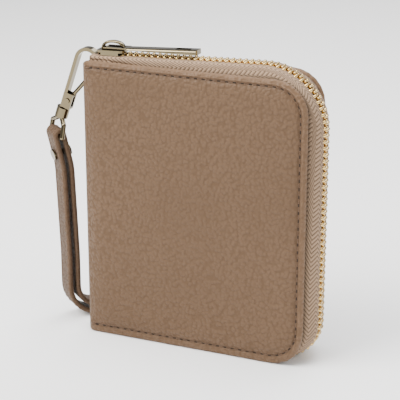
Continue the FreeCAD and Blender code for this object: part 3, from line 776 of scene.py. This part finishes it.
def build_tape(side, name):
    """One tape as a closed thin strip with a corded edge, and its UV map in metres."""
    teeth = teeth_route(tape_start, ROUTE_STEPS)
    inset = RIM_RADIUS + 0.25 * MM + TAPE_THICKNESS / 2
    radius = CORNER_RADIUS - inset
    right, top, left = panel_width - inset, wallet_height - inset, tape_start - skin_low.x
    corners = [(left, top), (right, top), (right, inset), (left, inset)]
    rim = rounded_route(corners, [radius, radius], ROUTE_STEPS)
    mesh = bmesh.new()
    uv = mesh.loops.layers.uv.new("UVMap")
    # Painted shade: a vertex attribute that rises towards the seam under the rim and darkens the tape there.
    painted_seam_shade = mesh.verts.layers.float.new("painted_seam_shade")
    rings = []
    walked = 0.0
    previous = teeth[0][0]
    for (teeth_spot, teeth_out), (rim_spot, rim_out) in zip(teeth, rim):
        rim_spot = rim_spot - rim_out * rim_tuck(rim_out[1])
        line = tape_section(side, teeth_spot, teeth_out, rim_spot, rim_out)
        walked += (teeth_spot - previous).length
        previous = teeth_spot
        corners = tape_ring(line, Vector((teeth_out[0], 0, teeth_out[1])), walked)
        ring = [(mesh.verts.new(point), coord) for point, coord in corners]
        for k in range(len(line)):
            for vertex, coord in (ring[k], ring[-k - 1]):
                vertex[painted_seam_shade] = smooth(k, 9, 13)
        rings.append(ring)
    for first, second in zip(rings, rings[1:]):
        for k in range(len(first)):
            after = (k + 1) % len(first)
            corners = [first[k], first[after], second[after], second[k]]
            face = mesh.faces.new([vertex for vertex, coord in corners])
            for loop, (vertex, coord) in zip(face.loops, corners):
                loop[uv].uv = coord
    for ring in (rings[0][::-1], rings[-1]):
        mesh.faces.new([vertex for vertex, coord in ring])
    return finish_mesh(mesh, name, tape_weave)


for side, body in ((-1, "front"), (1, "back")):
    tape = build_tape(side, body + "_woven_tape")
    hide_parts(body + "_zip_tape")
    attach(tape, body + "_cover")

# ---- Zip teeth ----
# Pale gold brass teeth, each stamped with a broad foot clamped on the tape's cord, a waist and a rounded head
# that catches between two teeth of the other row.

TOOTH_PITCH = 2.45 * MM


def polished_metal(name, colour, roughness):
    """Plated metal: bright, with faint rub marks and slightly duller patches."""
    material, tree, shader, place = new_finish(name, Metallic=1.0)
    patches = mottle(tree, place, 260.0, 3.0)["Fac"]
    tree.links.new(mix(tree, patches, shade(colour, 0.82), colour), shader.inputs["Base Color"])
    stretched = node(tree, "ShaderNodeMapping")
    stretched.inputs["Scale"].default_value = (300.0, 2600.0, 2600.0)
    tree.links.new(place, stretched.inputs["Vector"])
    rubs = mottle(tree, stretched.outputs[0], 1.0, 3.0)["Fac"]
    rough = ramp(tree, rubs, [(0.3, (roughness * 0.8,) * 3), (0.75, (roughness * 1.5,) * 3)])
    tree.links.new(rough, shader.inputs["Roughness"])
    emboss(tree, shader, rubs, 0.03, 0.05 * MM)
    return material


teeth_gold = polished_metal("teeth_gold", (0.74, 0.52, 0.22), 0.2)


def tooth_piece(side):
    """One tooth with X along the zip, Z out of the wallet and its foot on one side."""
    profile = [
        (-3.0, 0.42, 0.85), (-2.75, 0.60, 1.12), (-1.35, 0.62, 1.2), (-0.95, 0.40, 1.12),
        (0.05, 0.38, 1.05), (0.35, 0.52, 1.1), (0.7, 0.5, 1.0), (0.98, 0.28, 0.7),
    ]
    sections = []
    for across, half_width, half_height in profile:
        ring = []
        for k in range(8):
            angle = math.pi / 8 + math.pi * k / 4
            wide = max(min(math.cos(angle) * 1.25, 1), -1) * half_width
            high = max(min(math.sin(angle) * 1.25, 1), -1) * half_height
            ring.append(Vector((wide, -side * across, high)) * MM)
        sections.append(ring)
    return lofted(sections, "tooth_piece", teeth_gold)


for side, body in ((-1, "front"), (1, "back")):
    start = teeth_start + (TOOTH_PITCH / 2 if side > 0 else 0)
    spots = teeth_route(start, [20, 30, 20, 30, 20])
    line = [Vector((spot[0], 0, spot[1])) for spot, out in spots]
    uprights = [Vector((out[0], 0, out[1])) for spot, out in spots]
    piece = tooth_piece(side)
    teeth = row_of(body + "_brass_teeth", piece, line, uprights, TOOTH_PITCH, teeth_gold)
    bpy.data.objects.remove(piece)
    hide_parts(body + "_zip_teeth")
    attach(teeth, body + "_cover")

# ---- Slider, pull, hook and eyelet ----
# Die cast zinc plated pale gold and polished: the slider with its arched bridge and wedge pull, the flat snap
# hook clipped through the spine's eyelet, and the swivel. The gate's leaf spring is plain spring steel.

# The plated parts get a dark olive base colour in place of pale gold, standing in for dark reflections:
# painted reflection.
gold_painted_dark_for_reflections = polished_metal("gold_painted_dark_for_reflections", (0.17, 0.138, 0.082), 0.09)
spring_steel = polished_metal("spring_steel", (0.52, 0.52, 0.54), 0.28)


def dress(material, *names):
    """Give carried over CAD nodes their finish."""
    for name in names:
        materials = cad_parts[name].data.materials
        materials.clear()
        materials.append(material)


dress(gold_painted_dark_for_reflections, "slider_body", "zip_pull", "spine_eyelet", "hook_arch", "hook_body")
dress(gold_painted_dark_for_reflections, "hook_rivet", "hook_gate", "swivel_collar", "swivel_eye", "strap_rivet")
dress(spring_steel, "gate_spring")
dress(teeth_gold, "front_zip_stop", "back_zip_stop")

BRIDGE_HALF_SPAN = 4.3 * MM
BRIDGE_RISE = 2.65 * MM
BRIDGE_HALF_WIDTH = 1.0 * MM
BRIDGE_HALF_WIRE = 0.5 * MM
bridge_low, bridge_high = [Vector(corner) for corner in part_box("slider_bridge")]
bridge_foot = Vector(((bridge_low.x + bridge_high.x) / 2, 0, bridge_low.z + 0.15 * MM))
bridge_turn = Matrix.Rotation(-TEETH_SLOPE, 4, "Y")
bridge_sections = []
for k in range(25):
    angle = math.pi * k / 24
    lift = math.sin(angle) ** 0.8
    centre = Vector((-BRIDGE_HALF_SPAN * math.cos(angle), 0, BRIDGE_RISE * lift))
    spoke = Vector((-math.cos(angle) * BRIDGE_RISE, 0, math.sin(angle) * BRIDGE_HALF_SPAN)).normalized()
    ring = []
    for step in range(12):
        corner = 2 * math.pi * (step + 0.5) / 12
        across = max(min(1.2 * math.cos(corner), 1), -1) * BRIDGE_HALF_WIDTH
        out = max(min(1.2 * math.sin(corner), 1), -1) * BRIDGE_HALF_WIRE
        ring.append(bridge_foot + bridge_turn @ (centre + spoke * out + Vector((0, across, 0))))
    bridge_sections.append(ring)
bridge = lofted(bridge_sections, "slider_bridge_arch", gold_painted_dark_for_reflections)
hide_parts("slider_bridge")
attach(bridge, "main_slider")

# ---- Wrist strap ----
# A strip of the same leather with painted edges, drawn paler as rubbed wear and painted highlight, is folded
# over the swivel's bar and closed into a long loop.
# Thread runs near both edges on the outside, and the cap rivet holds the fold under the bar.

STRAP_HALF_WIDTH = 4.5 * MM
STRAP_HALF_THICKNESS = 1.05 * MM
STRAND_OFFSET = 1.65 * MM
BAR_FOLD = 0.55 * MM
STRAP_PITCH = 2.6 * MM
strap_turn = math.radians(48)
strap_ahead = Vector((math.cos(strap_turn), math.sin(strap_turn), 0))
strap_across = Vector((math.sin(strap_turn), -math.cos(strap_turn), 0))
strap_foot = Vector((-58.8, 3.5, 0)) * MM
strap_leather = pebbled_leather("strap_leather", (0.098, 0.058, 0.033), (0.072, 0.042, 0.024), 0.8, 0.5, 0.55)
strap_thread = thread_material("strap_thread", (0.15, 0.08, 0.04))


def strap_loop():
    """Middle line of the strap's leather round its closed loop, with the outward normal at each point."""
    corners = [Vector(corner) * MM for corner in ((-3.9, 78), (-1.0, 65), (0.3, 28), (0.3, 2.7), (68, 2.7))]
    spots = rounded_route(corners, [30 * MM, 60 * MM, 11 * MM], [5, 4, 8, 3, 8, 12, 24])
    route = [spot for spot, out in spots]
    headings = []
    for i in range(len(route)):
        step = route[min(i + 1, len(route) - 1)] - route[max(i - 1, 0)]
        headings.append(step.normalized())
    sides = [Vector((heading.y, -heading.x)) for heading in headings]
    loop = [(spot + out * STRAND_OFFSET, out) for spot, out in zip(route, sides)]
    for k in range(1, 8):
        angle = math.pi * k / 8
        out = sides[-1] * math.cos(angle) + headings[-1] * math.sin(angle)
        loop.append((route[-1] + out * STRAND_OFFSET, out))
    loop += [(spot - out * STRAND_OFFSET, -out) for spot, out in zip(route[::-1], sides[::-1])]
    for k in range(1, 10):
        angle = math.pi * k / 10
        out = -sides[0] * math.cos(angle) - headings[0] * math.sin(angle)
        loop.append((route[0] + out * (STRAND_OFFSET + BAR_FOLD * math.sin(angle)), out))
    placed = []
    for spot, out in loop:
        point = strap_foot + strap_ahead * spot.x + Vector((0, 0, spot.y))
        placed.append((point, strap_ahead * out.x + Vector((0, 0, out.y))))
    return placed


def build_strap():
    """The strap's leather with softly crowned faces and rounded edges."""
    half = [(0, 1.0), (0.4, 1.0), (0.66, 0.9), (0.76, 0.97), (0.9, 0.9), (0.98, 0.6), (1, 0.0)]
    profile = half + [(across, -out) for across, out in half[-2::-1]]
    profile += [(-across, out) for across, out in profile[-2:0:-1]]
    mesh = bmesh.new()
    wear_and_highlight = mesh.verts.layers.float.new("wear_and_highlight")
    rings = []
    for point, normal in strap_loop():
        ring = []
        for across, out in profile:
            spot = point + strap_across * across * STRAP_HALF_WIDTH + normal * out * STRAP_HALF_THICKNESS
            made = mesh.verts.new(spot)
            # The edges are drawn paler: partly rubbed wear, partly a painted highlight.
            made[wear_and_highlight] = 0.5 if abs(across) > 0.85 else 0.1
            ring.append(made)
        rings.append(ring)
    join_rings(mesh, rings + rings[:1])
    return finish_mesh(mesh, "strap_leather_loop", strap_leather)


strap = build_strap()
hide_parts("wrist_strap")
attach(strap, "swivel")
strap_stitch = stitch_piece(STRAP_PITCH * 0.75, 0.2 * MM)
loop_line = strap_loop()
loop_line.append(loop_line[0])
for name, share in (("near", 0.7), ("far", -0.7)):
    line = []
    for point, normal in loop_line:
        line.append(point + strap_across * share * STRAP_HALF_WIDTH + normal * STRAP_HALF_THICKNESS * 0.98)
    uprights = [normal for point, normal in loop_line]
    row = row_of("strap_stitches_" + name, strap_stitch, line, uprights, STRAP_PITCH, strap_thread, 0.05)
    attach(row, "swivel")
bpy.data.objects.remove(strap_stitch)

# ---- Padding, boards and linings ----
# Under the leather lie thin foam and a grey card board, and a plain woven lining is glued over the board. A
# strip of it is carried on behind the spine from one cover to the other.


def speckled(name, light, dark, scale, roughness, bump):
    """Foam or card: fine specks of two tones."""
    material, tree, shader, place = new_finish(name, Roughness=roughness)
    specks = mottle(tree, place, scale, 4.0)["Fac"]
    tree.links.new(mix(tree, specks, dark, light), shader.inputs["Base Color"])
    emboss(tree, shader, specks, bump, 0.2 * MM)
    return material


def plain_weave(name, light, dark, thread_mm=0.55):
    """Plain woven fabric: upright and level threads that pass over and under each other."""
    material, tree, shader, place = new_finish(name, Roughness=0.8, Sheen_Weight=0.2)
    split = node(tree, "ShaderNodeSeparateXYZ")
    tree.links.new(place, split.inputs[0])
    waves = []
    for axis in ("X", "Z"):
        across = math_node(tree, "MULTIPLY", split.outputs[axis], math.pi * 1000.0 / thread_mm)
        waves.append(math_node(tree, "SINE", across))
    crossing = math_node(tree, "MULTIPLY", math_node(tree, "MULTIPLY", waves[0], waves[1]), 0.5)
    weave = math_node(tree, "ADD", crossing, 0.5)
    fuzz = math_node(tree, "MULTIPLY", mottle(tree, place, 900.0, 3.0)["Fac"], 0.5)
    height = math_node(tree, "ADD", weave, fuzz)
    tree.links.new(ramp(tree, height, [(0.1, dark), (1.0, light)]), shader.inputs["Base Color"])
    emboss(tree, shader, height, 0.5, 0.2 * MM)
    return material


lining_weave = plain_weave("lining_weave", (0.13, 0.075, 0.038), (0.06, 0.033, 0.016))
foam = speckled("foam", (0.72, 0.70, 0.64), (0.5, 0.48, 0.43), 1800.0, 0.95, 0.6)
grey_card = speckled("grey_card", (0.42, 0.40, 0.37), (0.3, 0.285, 0.26), 900.0, 0.9, 0.2)
dress(lining_weave, "front_lining", "back_lining")
dress(foam, "front_padding", "back_padding")
dress(grey_card, "front_board", "back_board")

STRIP_FOOT = 3.0 * MM
STRIP_TOP = 96.0 * MM
STRIP_HALF_THICKNESS = 0.15 * MM
STRIP_HALF_SPAN = 5.2
hinge_points = []
for side in (-1, 1):
    bends = ((4.5, -3.5), (3.2, -3.0), (2.1, -2.4))
    hinge_points.append([panel_point(side, reach * MM, 0, lift * MM) for reach, lift in bends])
strip_line = hinge_points[0]
for k in range(9):
    across = (2 * STRIP_HALF_SPAN * k / 8 - STRIP_HALF_SPAN) * MM
    strip_line.append(Vector((skin_low.x + SPINE_THICKNESS + 0.2 * MM, across, 0)))
strip_line += hinge_points[1][::-1]
strip_sections = []
for k, point in enumerate(strip_line):
    step = (strip_line[min(k + 1, len(strip_line) - 1)] - strip_line[max(k - 1, 0)]).normalized()
    inward = Vector((step.y, -step.x, 0)) * STRIP_HALF_THICKNESS
    low, high = Vector((0, 0, STRIP_FOOT)), Vector((0, 0, STRIP_TOP))
    near, far = point + inward, point - inward
    strip_sections.append([near + low, near + high, far + high, far + low])
spine_strip = lofted(strip_sections, "spine_lining_strip", lining_weave)
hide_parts("spine_lining")
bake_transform(spine_strip)

# ---- Card slots and slip pocket ----
# Four stepped leather card slots stand on the front cover's lining and one wide slip pocket on the back
# cover's. Each sheet's mouth is turned over and creased, and thread runs across under it and down both ends.

HEM_RADIUS = 0.32 * MM
POCKET_PITCH = 2.4 * MM
SHEET_STEP = 0.5 * MM
SHEET_NEAR, SHEET_FAR = 9.0 * MM, 82.0 * MM
SIDE_SEAM_INSET = 1.5 * MM
pocket_leather = pebbled_leather("pocket_leather", (0.15, 0.082, 0.04), (0.12, 0.064, 0.031), 0.9, 0.3, 0.55)
pocket_stitch = stitch_piece(POCKET_PITCH * 0.72, 0.17 * MM)
dress(pocket_leather, "card_slot_1", "card_slot_2", "card_slot_3", "card_slot_4", "slip_pocket")
POCKETS = [("card_slot_%d" % (level + 1), -1, "front_cover", level) for level in range(4)]
POCKETS.append(("slip_pocket", 1, "back_cover", 0))
for name, side, body, level in POCKETS:
    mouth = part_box(name)[1][2]
    outward = panel_axes(side)[1]
    depth = COVER_DEPTH + (level + 1) * SHEET_STEP
    sections, line = [], []
    for k in range(25):
        reach = SHEET_NEAR + (SHEET_FAR - SHEET_NEAR) * k / 24
        centre = panel_point(side, reach, mouth, SHEET_STEP / 2 - depth)
        ring = []
        for step in range(8):
            angle = 2 * math.pi * step / 8
            ring.append(centre + (outward * math.cos(angle) + Vector((0, 0, math.sin(angle)))) * HEM_RADIUS)
        sections.append(ring)
        inner = SHEET_NEAR + SIDE_SEAM_INSET + (SHEET_FAR - SHEET_NEAR - 2 * SIDE_SEAM_INSET) * k / 24
        line.append(panel_point(side, inner, mouth - 2 * MM, -depth))
    hem = lofted(sections, name + "_hem", pocket_leather)
    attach(hem, body)
    row = row_of(name + "_thread", pocket_stitch, line, [-outward] * 25, POCKET_PITCH, cover_thread)
    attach(row, body)
for side, body, name, level, top in (
    (-1, "front_cover", "card_slot", 3, 54),
    (1, "back_cover", "slip_pocket", 0, 88),
):
    outward = panel_axes(side)[1]
    depth = COVER_DEPTH + (level + 1) * SHEET_STEP
    for end, reach in (("near", SHEET_NEAR + SIDE_SEAM_INSET), ("far", SHEET_FAR - SIDE_SEAM_INSET)):
        line = [panel_point(side, reach, (9.5 + (top - 11.5) * k / 12) * MM, -depth) for k in range(13)]
        title = "%s_side_thread_%s" % (name, end)
        row = row_of(title, pocket_stitch, line, [-outward] * 13, POCKET_PITCH, cover_thread)
        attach(row, body)

# ---- Coin pocket ----
# A thin leather pouch hinged at the spine between the covers: two panels and a narrow gusset sewn into one
# bag, with a fine brass zip along its mouth.

coin_low, coin_high = [Vector(corner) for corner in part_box("coin_back_panel")]
coin_depth = coin_high.y
POUCH_SEAM = 2.2 * MM
POUCH_ROWS, POUCH_STEPS = 30, 28


def build_pouch():
    """The pouch's outside: both panels puffed a little and rounded into the gusset, closed under the zip."""
    mesh = bmesh.new()
    width, height = coin_high.x - coin_low.x, coin_high.z - coin_low.z
    rings = []
    for k in range(POUCH_ROWS + 1):
        z = coin_low.z + height * k / POUCH_ROWS
        ring = []
        near_end = smooth(min(k, 2.5), 0, 2.5)
        for side in (-1, 1):
            row = []
            for i in range(POUCH_STEPS + 1):
                x = coin_low.x + width * i / POUCH_STEPS
                edge = smooth(min(i, POUCH_STEPS - i), 0, 2.5)
                soft = coin_depth * (0.55 + 0.45 * min(edge, near_end))
                sway = 0.12 * MM * math.sin(x * 170 + z * 60 * side)
                row.append(Vector((x, side * (soft - abs(sway)), z)))
            ring += row if side < 0 else row[::-1]
        rings.append(ring)
    made = [[mesh.verts.new(point) for point in ring] for ring in rings]
    join_rings(mesh, made)
    for ring in (made[0], made[-1]):
        half = len(ring) // 2
        for i in range(half - 1):
            mesh.faces.new([ring[i], ring[i + 1], ring[-i - 2], ring[-i - 1]])
    return finish_mesh(mesh, "coin_pouch", pocket_leather)


pouch = build_pouch()
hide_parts("coin_front_panel", "coin_back_panel", "coin_gusset")
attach(pouch, "coin_pocket")
for side, name in ((-1, "front"), (1, "back")):
    left, foot = coin_low.x + POUCH_SEAM, coin_low.z + POUCH_SEAM
    right, top = coin_high.x - POUCH_SEAM, coin_high.z - POUCH_SEAM
    corners = [(left, top), (left, foot), (right, foot), (right, top)]
    spots = rounded_route(corners, [2 * MM, 2 * MM], [40, 6, 36, 6, 40])
    line = [Vector((spot[0], side * (coin_depth - 0.12 * MM), spot[1])) for spot, out in spots]
    uprights = [Vector((0, side, 0))] * len(line)
    row = row_of("coin_thread_" + name, pocket_stitch, line, uprights, POCKET_PITCH, cover_thread)
    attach(row, "coin_pocket")
bpy.data.objects.remove(pocket_stitch)
coin_weave = plain_weave("coin_zip_weave", (0.22, 0.13, 0.066), (0.09, 0.05, 0.024), 0.4)
dress(coin_weave, "coin_zip_tape")
dress(teeth_gold, "coin_zip_teeth")
dress(gold_painted_dark_for_reflections, "coin_slider", "coin_pull")
